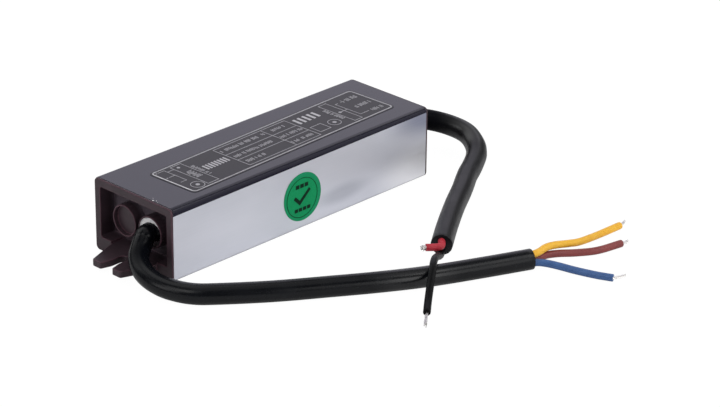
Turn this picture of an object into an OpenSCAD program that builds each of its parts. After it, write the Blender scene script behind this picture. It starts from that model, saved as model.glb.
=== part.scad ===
/* [Case] */
// Length over the rims of both end caps
overall_l = 110; // [108:1:150]
// Width of the extruded case
case_w = 34.2; // [33:0.2:44]
// Height of the extruded case
case_h = 23.8; // [23:0.2:30]
// Wall of the extrusion
case_wall = 1.1; // [0.8:0.1:1.4]
// Outer radius of the four long edges
case_r = 1.5; // [1:0.1:2.2]

/* [End caps] */
// Thickness of the flange that covers the end of the case
flange_t = 0.6; // [0.4:0.1:1.2]
// Gap between the plug and the inside of the case
plug_fit = 0.1; // [0.05:0.05:0.2]
// Side wall of the plug beside the recess
plug_side = 1.25; // [1:0.05:1.8]
// Top wall of the plug above the recess
plug_top = 1.4; // [1:0.1:2]
// Bottom wall of the plug below the recess
plug_floor = 3.4; // [3.2:0.1:4]
// Depth of the recess behind the rim face
recess_depth = 5.8; // [5.2:0.1:7]
// Thickness of the bulkhead that closes the recess
bulkhead_t = 2; // [1.2:0.1:3]
// Radius in the four corners of the recess
recess_r = 0.6; // [0.3:0.1:1]

/* [Cable collars] */
// Outer diameter of a collar
collar_d = 10.3; // [9.6:0.1:11]
// Wall of a collar
collar_wall = 0.55; // [0.4:0.05:0.8]
// Distance between the axes of the two collars
collar_pitch = 11.4; // [11.1:0.1:13]
// Height of the collars above the base
collar_z = 12.4; // [11.5:0.1:13]
// How far a collar's edge lies behind the rim face
collar_set = 1.5; // [1:0.1:2.4]
// Depth of the unused collar's blind pocket
blind_depth = 1.6; // [1:0.1:2.4]
// Thickness of the web behind the pocket
web_t = 1.2; // [0.8:0.1:1.6]
// Gap round a lead in the hole through the web
lead_fit = 0.15; // [0.1:0.05:0.3]
// How far the sealant lies behind the rim face at its high side
seal_set = 1.4; // [1:0.1:1.8]
// How far the sealant lies behind the rim face at its low side
seal_deep = 2.9; // [2:0.1:3]
// Direction of the sealant's high side, up from the level
seal_turn = 50; // [0:5:90]
// Gap between the sealant and the lead
seal_fit = 0.05; // [0:0.01:0.1]

/* [Fixing fork] */
// How far the fork reaches past the rim face
fork_l = 11; // [9.5:0.5:14]
// Width of the fork where it leaves the rim
fork_root_w = 20.4; // [18:0.2:22]
// Width of the fork over its tips
fork_tip_w = 12.4; // [11.6:0.2:14]
// Thickness of the fork
fork_t = 2.2; // [1.6:0.1:2.4]
// Height of the fork's underside above the base
fork_z = 1.7; // [1.5:0.1:2]
// Width of the screw slot
slot_w = 3.2; // [3:0.1:4.4]
// Width of the slot's mouth
slot_mouth_w = 5.2; // [4.8:0.1:5.8]
// Length of the flared mouth
slot_mouth_l = 3.6; // [2:0.2:4]
// Length of the slot, from the tips to its round end
slot_l = 8.5; // [7.5:0.1:8.8]
// How far the fork's root runs into the cap
fork_seat = 2; // [1:0.2:4]
// Radius on the corners of the tips
tip_r = 0.9; // [0.4:0.1:1.2]

/* [Film and labels] */
// Thickness of the black film on the top of the case
film_t = 0.15; // [0.1:0.05:0.2]
// Drop of the film's skirt at its deep end
skirt_deep = 2.2; // [2:0.1:3]
// Drop of the film's skirt at its shallow end
skirt_shallow = 1.4; // [1.2:0.1:1.9]
// Length of the rating label
label_l = 90.2; // [90:0.2:92]
// Width of the rating label
label_w = 19.8; // [19.6:0.2:22]
// Thickness of the rating label
label_t = 0.1; // [0.05:0.05:0.15]
// Place of the label's centre along the case
label_x = 2.7; // [0:0.1:4]
// Place of the label's centre across the case
label_y = -1.5; // [-2.5:0.1:0]
// Turn of the label, which is stuck on a little askew
label_turn = 2.2; // [0:0.1:3]
// Thickness of the ink
ink_t = 0.05; // [0.03:0.01:0.08]
// Width of the printed border
border_line = 0.4; // [0.3:0.1:0.6]
// Width of the fine printed lines
fine_line = 0.2; // [0.2:0.05:0.4]
// Corner radius of the rating label
label_r = 1.6; // [0.8:0.1:2]
// Margin outside the printed border
label_margin = 0.5; // [0.4:0.05:0.6]
// Radius of the round check sticker
check_r = 8.2; // [7.6:0.1:9]
// Radius of the ring printed on the check sticker
check_ring = 6.6; // [6:0.1:7]
// How far the sticker's lower left is cut short
check_trim = 0.45; // [0:0.05:0.6]
// Thickness of the check sticker
check_t = 0.08; // [0.05:0.01:0.1]
// Place of the sticker's centre along the case
check_x = -1.2; // [-6:0.1:6]
// Height of the sticker's centre
check_z = 10.7; // [10.4:0.1:11.2]

/* [Leads] */
// Diameter of the three-core input lead
ac_d = 6.4; // [5.8:0.1:6.6]
// Diameter of the two-core output lead
dc_d = 6.8; // [5.6:0.1:7]
// Diameter of one insulated core
core_d = 2.3; // [2:0.1:2.3]
// Distance of the input lead's three cores from its axis
ac_core_r = 1.4; // [1.35:0.05:1.6]
// Distance of the output lead's two cores from its axis
dc_core_r = 1.2; // [1.15:0.05:1.5]
// Diameter of a bare tinned end
strand_d = 1; // [0.8:0.1:1.2]

/* [Circuit] */
// Diameter of a component's pin
pin_d = 0.8; // [0.5:0.1:0.9]
// Gap round a pin in its hole
pin_fit = 0.1; // [0.05:0.05:0.2]
// How far a pin reaches below the board
pin_out = 1.2; // [0.8:0.1:1.6]
// Thickness of the insulating sleeve in the case
sleeve_t = 0.25; // [0.2:0.05:0.35]
// Gap between the potting compound and a rounded part
pot_fit = 0.05; // [0:0.01:0.1]
// Gap between the sleeve and the case
sleeve_fit = 0.1; // [0.05:0.05:0.2]
// Thickness of the circuit board
board_t = 1.6; // [1:0.1:1.6]
// Gap between each long side of the circuit board and the sleeve
board_side = 1.15; // [0.6:0.05:1.4]
// Height of the board's underside above the sleeve's floor
board_lift = 2.2; // [1.8:0.1:2.4]
// Gap between the board and each end cap
board_end = 1.2; // [0.8:0.1:1.6]
// Bare strip of the board outside the parts on it
board_rim = 1; // [0.8:0.1:1.2]
// Radius of the bend in a core inside the case
bend_r = 2.5; // [1.5:0.1:3]
// Straight run of a lower core before it bends down
low_run = 0.6; // [0.4:0.1:1]
// Straight run of an upper core before it bends down
high_run = 3.2; // [2.9:0.1:4]
// How far a lower core lands from the board's end at least
core_landing = 5.1; // [4:0.1:5.1]
// Air left over the potting compound
air_gap = 0.8; // [0.5:0.1:1.2]
// Diameter of the large input capacitor
bulk_d = 12.5; // [12:0.1:12.8]
// Length of the large input capacitor
bulk_l = 20; // [18:0.5:20.5]
// Diameter of an output capacitor
out_cap_d = 8; // [7:0.1:8.3]
// Height of an output capacitor
out_cap_h = 12; // [10:0.5:13]
// Width of the transformer core across the board
core_w = 16; // [15.6:0.1:16.4]
// Length of the transformer core along the board
core_l = 14.4; // [14:0.1:14.8]
// Thickness of the transformer core
core_h = 4.8; // [4.6:0.1:5]
// Height of the transformer bobbin
bobbin_h = 12.4; // [11.6:0.1:13.5]

/* [Hidden] */
$fn = 48;
cut = 1;

half_l = overall_l / 2;
tube_l = overall_l - 2 * flange_t;
bore_w = case_w - 2 * case_wall;
bore_h = case_h - 2 * case_wall;
bore_r = max(case_r - case_wall, 0.4);
plug_w = bore_w - 2 * plug_fit;
plug_h = bore_h - 2 * plug_fit;
plug_z = case_wall + plug_fit;
plug_l = recess_depth + bulkhead_t;
recess_w = plug_w - 2 * plug_side;
recess_z = plug_z + plug_floor;
recess_h = plug_h - plug_floor - plug_top;
fork_top = fork_z + fork_t;
collar_y = collar_pitch / 2;
collar_bore = collar_d - 2 * collar_wall;
top_z = case_h + film_t;
label_top = top_z + label_t;
// The label's print lies on a grid of a hundred cells to its length, the sticker's on one of ten
cell = label_l / 100;
rule = fine_line / cell;
check_cell = check_ring / 10;

inner_l = overall_l - 2 * plug_l;
sleeve_w = bore_w - 2 * sleeve_fit;
sleeve_h = bore_h - 2 * sleeve_fit;
sleeve_z = case_wall + sleeve_fit;
sleeve_r = bore_r - sleeve_fit;
floor_z = sleeve_z + sleeve_t;
pot_w = sleeve_w - 2 * sleeve_t;
pot_h = sleeve_h - 2 * sleeve_t - air_gap;
board_w = pot_w - 2 * board_side;
board_l = inner_l - 2 * board_end;
board_z = floor_z + board_lift;
part_z = board_z + board_t;
near_end = -board_l / 2;
far_end = board_l / 2;

// Bought-in parts: diameter and height, or length, width and height
fuse_size = [8.4, 7.7];
film_cap_size = [6, 13, 12];
choke_size = [10, 11];
bridge_size = [6.4, 8.4, 3.2];
chip_size = [9.4, 6.4, 3.3];
opto_size = [6.4, 4.6, 3.4];
disc_cap_size = [8, 4];
diode_size = [5.3, 9.5];
coil_size = [8, 10];
resistor_size = [2.3, 6.5];
resistor_pitch = 3.2;
pin_pitch = 2.54;
row_pitch = 7.62;
strip_t = 0.3;

// Parts of the transformer
centre_leg = 4;
outer_leg = 2.1;
core_gap = 0.3;
bobbin_wall = 0.7;
bobbin_play = 0.1;
rail_w = 1.4;
window_l = core_l - 2 * outer_leg;
window_w = core_w - 2 * outer_leg;
bobbin_l = window_l - 2 * bobbin_play;
bobbin_w = window_w - 2 * bobbin_play;
bobbin_tube = [centre_leg, core_h] + 2 * (bobbin_play + bobbin_wall) * [1, 1];
winding_size = [bobbin_w, bobbin_h] - 2 * (bobbin_play + bobbin_wall) * [1, 1];
transformer_z = part_z + bobbin_h / 2;

// Points along the centre line of each lead, core and bare end
AC_ROUTE = [[-44, -5.7, 12.4], [-53.7, -5.7, 12.4], [-56.1, -6, 11.2], [-58.2, -6.9, 9.4],
    [-60.7, -8.7, 7.7], [-62.6, -11.5, 6.3], [-63.7, -15.5, 5], [-63.7, -20.5, 4],
    [-62.3, -25.5, 3.4], [-59.5, -31, 3.2], [-54.5, -36, 3.2], [-42, -46, 3.2], [-28, -55.5, 3.2],
    [-15, -64, 3.2], [-2, -71.5, 3.2], [13, -78.5, 3.2], [28, -85, 3.2]];
DC_ROUTE = [[44, 5.7, 12.4], [55, 5.7, 12.4], [61, 4.7, 12], [67, 1.8, 11], [72.5, -2.5, 9.8],
    [76.3, -8, 8.4], [77.8, -13.5, 6.9], [76.1, -18.7, 5.2], [72.1, -23.1, 4.1], [65.7, -27.2, 3.5],
    [58.7, -31.2, 3.4], [49.7, -37.2, 3.4], [39.2, -43.7, 3.4], [27.2, -51.7, 3.4], [15.8, -59.8, 3.4]];
YELLOW_ROUTE = [seat(AC_ROUTE, ac_core_r, 0), [31, -85.3, 4.6], [35, -84.6, 4.5], [39, -84.9, 4.1],
    [44, -86, 3.3], [49, -86.4, 2.4], [58, -86, 1.5], [68.5, -86, 1.2]];
BROWN_ROUTE = [seat(AC_ROUTE, ac_core_r, -120), [31.5, -84.6, 2.3], [35.5, -84.9, 2], [39.5, -86.3, 1.6],
    [44, -89, 1.2], [50, -92.6, 1.2], [59, -94.5, 1.2]];
BLUE_ROUTE = [seat(AC_ROUTE, ac_core_r, 120), [29.4, -87.4, 2.4], [31.2, -89.8, 2.1], [33, -92.8, 1.6],
    [34.6, -96.6, 1.2], [36.6, -103, 1.2], [38.8, -108, 1.2]];
RED_ROUTE = [seat(DC_ROUTE, dc_core_r, 0), [14.4, -61.1, 4.3], [12.9, -61.6, 4.4], [11.2, -60.8, 4.5],
    [9.1, -59.5, 4.7]];
BLACK_ROUTE = [seat(DC_ROUTE, dc_core_r, 180), [13.5, -61.7, 1.9], [11, -63.4, 2.6], [8.5, -65.2, 4],
    [5.5, -67.3, 5.5], [2.2, -69.6, 6.9], [-1, -72, 7.6], [-4.2, -74.6, 7.3], [-7.8, -77.2, 5.2],
    [-12.2, -80.4, 2.3], [-17.2, -84.5, 1.2]];
YELLOW_END = [[68.5, -86, 1.2], [72.3, -84.9, 1.1]];
BROWN_END = [[59, -94.5, 1.2], [62, -94.8, 1.1]];
BLUE_END = [[38.8, -108, 1.2], [43.1, -109.3, 1.1]];
RED_END = [[9.1, -59.5, 4.7], [7.5, -59, 4.7]];
BLACK_END = [[-17.2, -84.5, 1.2], [-23.2, -89.4, 0.8]];
JACKET_SIDES = 12;
CORE_SIDES = 8;

// Rows of parts on the left and the right half of the board, spread evenly over their stretch
bulk_bend = 1.4;
pin_reach = 1.5;
out_cap_pitch = out_cap_d + 1.5;
left_row = [fuse_size[0], choke_size[0], bulk_bend + bulk_l, core_l, diode_size[0], out_cap_d];
right_row = [film_cap_size[0], bridge_size[0], chip_size[0], resistor_size[0] + resistor_pitch];
left_start = near_end;
left_end = -core_reach(-DC_ROUTE[0][0]);
side_y = (core_w + board_w) / 4;

// Places on the board, along it and across it
fuse_at = [left_x(0), left_y(fuse_size[0])];
choke_at = [left_x(1), left_y(choke_size[0])];
bulk_at = [left_x(2) + bulk_bend / 2 - bulk_l / 2, left_y(bulk_d)];
transformer_at = [left_x(3), 0];
diode_at = [left_x(4), left_y(diode_size[1] + 2 * pin_reach + pin_d)];
out_cap_at = [left_x(5), left_y(out_cap_d) - out_cap_pitch];
right_start = core_reach(AC_ROUTE[0][0]);
right_end = transformer_at[0] - core_l / 2;
film_cap_at = [right_x(0), -left_y(film_cap_size[1])];
bridge_at = [right_x(1), -left_y(bridge_size[1])];
chip_at = [right_x(2), -left_y(row_pitch + pin_d)];
resistor_at = [right_x(3) - resistor_pitch / 2, -left_y(resistor_size[1] + 2 * pin_reach + pin_d)];
opto_at = [transformer_at[0], -side_y];
disc_cap_at = [transformer_at[0], side_y];
coil_at = [far_end - row_gap(left_row, left_start, left_end) - coil_size[0] / 2, -left_y(coil_size[0])];

// Pairs of pins, each as its middle and its spacing along and across the board
fuse_pins = [[fuse_at, 0, 5]];
film_cap_pins = [[film_cap_at, 0, 10]];
choke_pins = [[choke_at, 6, 0]];
bridge_pins = [for (k = [-1, 1]) [bridge_at + [0, k * pin_pitch], 2 * pin_pitch, 0]];
chip_pins = [for (k = [-1.5:1.5]) [chip_at + [k * pin_pitch, 0], 0, row_pitch]];
bulk_pins = [[bulk_at - [bulk_bend, 0], 0, 5]];
resistor_pins = [for (k = [0, 1])
    [resistor_at + [k * resistor_pitch, 0], 0, resistor_size[1] + 2 * pin_reach]];
transformer_pins = [for (k = [-1:1]) [transformer_at + [0, 4 * k], bobbin_l - rail_w, 0]];
opto_pins = [for (k = [-0.5, 0.5]) [opto_at + [0, k * pin_pitch], row_pitch, 0]];
disc_cap_pins = [[disc_cap_at, 5, 0]];
diode_pins = [[diode_at, 0, diode_size[1] + 2 * pin_reach]];
out_cap_pins = [for (k = [0, 1]) [out_cap_at + [0, k * out_cap_pitch], 3.5, 0]];
coil_pins = [[coil_at, 5, 0]];
BOARD_PINS = concat(fuse_pins, film_cap_pins, choke_pins, bridge_pins, chip_pins, bulk_pins, resistor_pins,
    transformer_pins, opto_pins, disc_cap_pins, diode_pins, out_cap_pins, coil_pins);

function unit(v) = v / norm(v);
function heading(p, i) = unit(p[min(i + 1, len(p) - 1)] - p[max(i - 1, 0)]);
function ending(p) = heading(p, len(p) - 1);
function ring(c, t, r, n) =
    let (s = unit(cross(t, [0, 0, 1])), u = cross(s, t))
    [for (k = [0:n - 1]) c + r * (cos(360 * k / n) * s + sin(360 * k / n) * u)];
// Start of a core in its lead's end face, at a distance from its axis and turned from the top
function seat(p, r, turn) =
    let (s = unit(cross(ending(p), [0, 0, 1])))
    p[len(p) - 1] + r * (sin(turn) * s + cos(turn) * cross(s, ending(p)));
function wall_faces(m, n) = [for (i = [0:m - 2]) for (k = [0:n - 1])
    let (a = i * n + k, b = i * n + (k + 1) % n)
    each [[a, b, a + n], [b, b + n, a + n]]];
// Points of the arc that rounds corner b of the line from a over b to c
function fillet(a, b, c, r, n = 5) =
    let (u = unit(a - b), v = unit(c - b), half = acos(u * v) / 2, m = b + unit(u + v) * r / sin(half),
        s = b + u * r / tan(half) - m, e = b + v * r / tan(half) - m)
    [for (i = [0:n]) m + r * unit(s + (e - s) * i / n)];
function mirrored(p) = [for (i = [len(p) - 1:-1:0]) [p[i][0], -p[i][1]]];
// Sum of the first n numbers of a row
function total(row, n) = n == 0 ? 0 : row[n - 1] + total(row, n - 1);
function row_gap(row, start, end) = (end - start - total(row, len(row))) / (len(row) + 1);
// Middle of part i of a row whose parts stand between start and end
function stand(row, i, start, end) =
    start + total(row, i) + (i + 1) * row_gap(row, start, end) + row[i] / 2;
function left_x(i) = stand(left_row, i, left_start, left_end);
function right_x(i) = stand(right_row, i, right_start, right_end);
// Middle of a part of width w that stands at the board's left side
function left_y(w) = board_w / 2 - board_rim - w / 2;
// Way that the cores go on inside the case until the lower ones can land on the board
function way_in(start) = max(0, near_end + core_landing - bend_r - low_run - start);
function core_reach(start) = start + way_in(start) + high_run + bend_r + core_d / 2;

module tube(route, d, n, start) {
    m = len(route);
    polyhedron(
        points = [for (i = [0:m - 1]) each ring(route[i], i == 0 ? start : heading(route, i), d / 2, n)],
        faces = concat(
            [[for (k = [n - 1:-1:0]) k]],
            wall_faces(m, n),
            [[for (k = [0:n - 1]) (m - 1) * n + k]]));
}
module round_rect(w, h, r) {
    square([w, h - 2 * r], center = true);
    square([w - 2 * r, h], center = true);
    for (x = [-1, 1])
        for (y = [-1, 1])
            translate([x * (w / 2 - r), y * (h / 2 - r)]) circle(r);
}
module section(w, h, r, z) {
    translate([0, z + h / 2]) round_rect(w, h, r);
}
module along_x(x, l) {
    translate([x, 0, 0]) rotate([90, 0, 90]) linear_extrude(l) children();
}
module rod_x(x, y, z, d, l) {
    translate([x, y, z]) rotate([0, 90, 0]) cylinder(d = d, h = l);
}
module rod_y(x, y, z, d, l) {
    translate([x, y + l / 2, z]) rotate([90, 0, 0]) cylinder(d = d, h = l);
}
module block(at, z, size) {
    translate([at[0] - size[0] / 2, at[1] - size[1] / 2, z]) cube(size);
}
module pin(x, y, d, top) {
    translate([x, y, board_z - pin_out]) cylinder(d = d, h = top - board_z + pin_out, $fn = 16);
}
module pins(pairs, d, top) {
    for (pair = pairs)
        for (k = [-0.5, 0.5])
            pin(pair[0][0] + k * pair[1], pair[0][1] + k * pair[2], d, top);
}

// Extruded aluminium tube, open at both ends
module housing() {
    color("silver")
        along_x(-tube_l / 2, tube_l) difference() {
            section(case_w, case_h, case_r, 0);
            section(bore_w, bore_h, bore_r, case_wall);
        }
}

// Black film over the top, folded down both long sides
module below_skirt(y, left, right) {
    end = tube_l / 2 + cut;
    translate([0, y, 0]) rotate([90, 0, 0]) linear_extrude(case_w)
        polygon([[-end, -cut], [end, -cut], [end, case_h - right], [-end, case_h - left]]);
}
module top_film() {
    color("dimgray") difference() {
        along_x(-tube_l / 2, tube_l) difference() {
            section(case_w + 2 * film_t, case_h + film_t, case_r + film_t, 0);
            section(case_w, case_h, case_r, 0);
        }
        below_skirt(0, skirt_deep, skirt_shallow);
        below_skirt(case_w, skirt_shallow, skirt_deep);
    }
}

// Rating label and its print, drawn about the label's middle
module on_label(z) {
    translate([label_x, label_y, z]) rotate(label_turn) children();
}
module outline(x0, y0, x1, y1) {
    difference() {
        translate([x0 - rule / 2, y0 - rule / 2]) square([x1 - x0 + rule, y1 - y0 + rule]);
        translate([x0 + rule / 2, y0 + rule / 2]) square([x1 - x0 - rule, y1 - y0 - rule]);
    }
}
module rule_x(x0, x1, y) {
    translate([x0, y - rule / 2]) square([x1 - x0, rule]);
}
module rule_y(x, y0, y1) {
    translate([x - rule / 2, y0]) square([rule, y1 - y0]);
}
module dot(x, y, r) {
    translate([x, y]) circle(r, $fn = 24);
}
module words_x(x0, y0, x1, y1, n) {
    step = (x1 - x0) / n;
    for (i = [0:n - 1])
        translate([x0 + i * step, y0]) square([step * 0.8, y1 - y0]);
}
module words_y(x0, y0, x1, y1, n) {
    step = (y1 - y0) / n;
    for (i = [0:n - 1])
        translate([x0, y0 + i * step]) square([x1 - x0, step * 0.8]);
}
module ring_mark(x, y, r) {
    difference() {
        dot(x, y, r);
        dot(x, y, r - rule);
    }
    dot(x, y, r * 0.3);
}
module border() {
    outer = [label_l, label_w] - 2 * label_margin * [1, 1];
    inner = outer - 2 * border_line * [1, 1];
    difference() {
        round_rect(outer[0], outer[1], label_r - label_margin / 2);
        round_rect(inner[0], inner[1], label_r - label_margin);
    }
}
module ring_marks() {
    ring_mark(-44.5, -6.9, 2.5);
    ring_mark(24.9, -4.7, 2.5);
}
module input_diagram() {
    rule_y(-44.5, -1.7, 9);
    for (y = [9, 3.8, -1.7])
        rule_x(-47.2, -44.4, y);
    for (y = [9, 3.8])
        dot(-48, y, 0.3);
    rule_x(-44.4, -41.6, 7.3);
    outline(-41.5, -8.9, -36.6, 9.2);
    dot(-39.4, 7.3, 0.6);
}
module rating_table() {
    outline(-21.4, -8.6, 13.7, 8.8);
    rule_x(-21.4, 13.7, 2.9);
    rule_x(-21.4, 13.7, -2.8);
    rule_y(1.7, -8.6, 8.8);
}
module output_diagram() {
    outline(15.5, -7, 20.6, -1.9);
    outline(30.9, -8.9, 34.7, 8.6);
    dot(32.6, -0.3, 0.6);
    rule_x(32.6, 36.5, -0.3);
    rule_y(36.5, -6.7, 5.7);
    rule_x(36.4, 37.8, 5.5);
    rule_x(36.4, 40.8, -6.5);
    rule_x(39.1, 41.4, 5.5);
    rule_y(40.2, 4.4, 6.7);
}
module rating_label() {
    color("#4a484c") on_label(top_z) linear_extrude(label_t) round_rect(label_l, label_w, label_r);
}
module label_print() {
    color("gainsboro") on_label(label_top) linear_extrude(ink_t) {
        border();
        scale(cell) {
            input_diagram();
            rating_table();
            output_diagram();
            ring_marks();
        }
    }
}
// Bars in the place of the rows of small print
module label_words() {
    color("gainsboro") on_label(label_top) linear_extrude(ink_t) scale(cell) {
        words_y(-40.9, -2.7, -37.7, 3.2, 2);
        words_y(-36.1, -3.7, -34.5, 5.2, 3);
        words_x(-33.4, -1.1, -22.3, 2.4, 3);
        words_x(-20.3, 4.7, 1.2, 7.2, 5);
        words_x(-20.1, -1.4, -1.9, 1.1, 4);
        words_x(-19.8, -7, -11.2, -4.4, 2);
        words_x(4.5, 4.7, 11, 6.9, 2);
        words_x(2.4, -1.4, 13.1, 0.9, 3);
        words_x(2.2, -7, 12.3, -4.9, 3);
        words_x(15.5, 2.1, 27.4, 7.2, 3);
        words_y(28.7, -4.7, 30.7, 5.2, 3);
        words_x(42, 3.9, 48, 7.2, 2);
        words_x(39.5, -2.4, 48.1, 0.4, 3);
        words_x(41.9, -8.2, 48.1, -5.4, 2);
    }
}

// Round check sticker on the side of the case, trimmed askew at its lower left
module on_side(layer) {
    translate([check_x, -case_w / 2 - layer, check_z]) rotate([90, 0, 0]) children();
}
module check_sticker() {
    color("seagreen") on_side(0) linear_extrude(check_t) intersection() {
        circle(check_r);
        translate([check_trim, check_trim]) circle(check_r);
    }
}
module check_print() {
    color("#12382a") on_side(check_t) linear_extrude(ink_t) {
        difference() {
            circle(check_ring);
            circle(check_ring - fine_line);
        }
        scale(check_cell) {
            polygon([[-5.5, 0.3], [-4.2, 1.5], [-1.5, -1.2], [4.5, 3.9], [5.6, 2.7], [-1.5, -3.6]]);
            words_x(-4.1, 5, 4.5, 7, 3);
            words_x(-4.8, -6.8, 5.9, -5, 4);
        }
    }
}

// Moulded end cap with its flange, recess, cable collars and fork, drawn at the input end
module fork() {
    tip = -half_l - fork_l;
    eye = tip + slot_l - slot_w / 2;
    root = [-half_l + fork_seat, fork_root_w / 2];
    edge = [-half_l, fork_root_w / 2];
    corner = [tip, fork_tip_w / 2];
    mouth = [tip, slot_mouth_w / 2];
    throat = [tip + slot_mouth_l, slot_w / 2];
    side = concat([root, edge], fillet(edge, corner, mouth, tip_r), fillet(corner, mouth, throat, tip_r / 2),
        [throat, [eye, slot_w / 2]]);
    translate([0, 0, fork_z]) linear_extrude(fork_t) difference() {
        polygon(concat(side, mirrored(side)));
        translate([eye, 0]) circle(d = slot_w);
    }
}
module collar(y) {
    rod_x(-half_l + collar_set, y, collar_z, collar_d, plug_l - collar_set);
}
module collar_pockets(y) {
    web = -half_l + collar_set + blind_depth;
    rod_x(-half_l + collar_set - cut, y, collar_z, collar_bore, cut + blind_depth);
    rod_x(web + web_t, y, collar_z, collar_bore, half_l);
}
module end_cap(lead_d) {
    difference() {
        union() {
            difference() {
                union() {
                    along_x(-half_l, flange_t) section(case_w, case_h, case_r, 0);
                    along_x(-half_l, plug_l) section(plug_w, plug_h, bore_r - plug_fit, plug_z);
                }
                along_x(-half_l - cut, cut + recess_depth) section(recess_w, recess_h, recess_r, recess_z);
                translate([-half_l - cut, -fork_root_w / 2, fork_top])
                    cube([cut + recess_depth, fork_root_w, recess_z - fork_top + cut]);
            }
            fork();
            collar(-collar_y);
            collar(collar_y);
        }
        collar_pockets(-collar_y);
        collar_pockets(collar_y);
        rod_x(-half_l, -collar_y, collar_z, lead_d + 2 * lead_fit, half_l);
    }
}
module input_end_cap() {
    color("#4d424a") end_cap(ac_d);
}
module output_end_cap() {
    color("#4d424a") rotate(180) end_cap(dc_d);
}

// Silicone in the collar's pocket round the lead, filled higher on one side
module seal(lead_d) {
    l = blind_depth + collar_set - seal_set;
    slant = atan((seal_deep - seal_set) / collar_bore);
    difference() {
        rod_x(-half_l + seal_set, -collar_y, collar_z, collar_bore, l);
        rod_x(-half_l + seal_set - cut, -collar_y, collar_z, lead_d + 2 * seal_fit, l + 2 * cut);
        translate([-half_l + (seal_set + seal_deep) / 2, -collar_y, collar_z])
            rotate([seal_turn, 0, 0]) rotate([0, 0, slant])
                translate([-collar_bore, -collar_bore, -collar_bore])
                    cube([collar_bore, 2 * collar_bore, 2 * collar_bore]);
    }
}
module input_seal() {
    color("lightgray") seal(ac_d);
}
module output_seal() {
    color("lightgray") rotate(180) seal(dc_d);
}

// Leads, each a plain sweep along its route
module ac_lead() {
    color("#1f2124") tube(AC_ROUTE, ac_d, JACKET_SIDES, heading(AC_ROUTE, 0));
}
module dc_lead() {
    color("#1f2124") tube(DC_ROUTE, dc_d, JACKET_SIDES, heading(DC_ROUTE, 0));
}
module ac_core_yellow() {
    color("gold") tube(YELLOW_ROUTE, core_d, CORE_SIDES, ending(AC_ROUTE));
}
module ac_core_brown() {
    color("sienna") tube(BROWN_ROUTE, core_d, CORE_SIDES, ending(AC_ROUTE));
}
module ac_core_blue() {
    color("steelblue") tube(BLUE_ROUTE, core_d, CORE_SIDES, ending(AC_ROUTE));
}
module dc_core_red() {
    color("crimson") tube(RED_ROUTE, core_d, CORE_SIDES, ending(DC_ROUTE));
}
module dc_core_black() {
    color("black") tube(BLACK_ROUTE, core_d, CORE_SIDES, ending(DC_ROUTE));
}
module ac_wire_ends() {
    color("peru") {
        tube(YELLOW_END, strand_d, CORE_SIDES, ending(YELLOW_ROUTE));
        tube(BROWN_END, strand_d, CORE_SIDES, ending(BROWN_ROUTE));
        tube(BLUE_END, strand_d, CORE_SIDES, ending(BLUE_ROUTE));
    }
}
module dc_wire_ends() {
    color("peru") {
        tube(RED_END, strand_d, CORE_SIDES, ending(RED_ROUTE));
        tube(BLACK_END, strand_d, CORE_SIDES, ending(BLACK_ROUTE));
    }
}

// Thin sleeve between the circuit and the metal case
module insulating_sleeve() {
    color("ivory") along_x(-inner_l / 2, inner_l) difference() {
        section(sleeve_w, sleeve_h, sleeve_r, sleeve_z);
        translate([-pot_w / 2, floor_z]) square([pot_w, sleeve_h - 2 * sleeve_t]);
    }
}
module circuit_board() {
    color("darkgreen") difference() {
        block([0, 0], board_z, [board_l, board_w, board_t]);
        pins(BOARD_PINS, pin_d + 2 * pin_fit, part_z + cut);
    }
}

// One core inside the case, bent down onto the board
module inner_core(r, turn, run, start) {
    y = -collar_y + r * sin(turn);
    z = collar_z + r * cos(turn);
    way = run + way_in(start);
    rod_x(start, y, z, core_d, way);
    translate([start + way, y, z - bend_r]) rotate([90, 0, 0])
        rotate_extrude(angle = 90) translate([bend_r, 0]) circle(d = core_d);
    translate([start + way + bend_r, y, part_z]) cylinder(d = core_d, h = z - bend_r - part_z);
}
module input_wires() {
    color("tan") {
        inner_core(ac_core_r, 0, high_run, AC_ROUTE[0][0]);
        inner_core(ac_core_r, 120, low_run, AC_ROUTE[0][0]);
        inner_core(ac_core_r, -120, low_run, AC_ROUTE[0][0]);
    }
}
module output_wires() {
    color("tan") rotate(180) {
        inner_core(dc_core_r, 0, high_run, -DC_ROUTE[0][0]);
        inner_core(dc_core_r, 180, low_run, -DC_ROUTE[0][0]);
    }
}

// Components, each with its own pins through the board
module drum(at, size, pairs) {
    translate([at[0], at[1], part_z]) cylinder(d = size[0], h = size[1]);
    pins(pairs, pin_d, part_z);
}
module box_part(at, size, pairs) {
    block(at, part_z, size);
    pins(pairs, pin_d, part_z);
}
module axial(at, size, pair) {
    z = part_z + size[0] / 2;
    rod_y(at[0], at[1], z, size[0], size[1]);
    rod_y(at[0], at[1], z, pin_d, pair[2]);
    pins([pair], pin_d, z);
}
module chip_part(at, size, pairs) {
    z = part_z + size[2] / 2;
    block(at, part_z, size);
    for (pair = pairs)
        block(pair[0], z, [pair[1] + pin_d, pair[2] + pin_d, strip_t]);
    pins(pairs, pin_d, z);
}
module fuse() {
    color("saddlebrown") drum(fuse_at, fuse_size, fuse_pins);
}
module line_capacitor() {
    color("khaki") box_part(film_cap_at, film_cap_size, film_cap_pins);
}
module line_choke() {
    color("darkslategray") drum(choke_at, choke_size, choke_pins);
}
module bridge_rectifier() {
    color("#26262a") box_part(bridge_at, bridge_size, bridge_pins);
}
module bulk_capacitor() {
    z = part_z + bulk_d / 2;
    pair = bulk_pins[0];
    color("midnightblue") {
        rod_x(bulk_at[0], bulk_at[1], z, bulk_d, bulk_l);
        for (k = [-0.5, 0.5])
            rod_x(pair[0][0], pair[0][1] + k * pair[2], z, pin_d, bulk_at[0] - pair[0][0]);
        pins(bulk_pins, pin_d, z);
    }
}
module controller_chip() {
    color("#26262a") chip_part(chip_at, chip_size, chip_pins);
}
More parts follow.
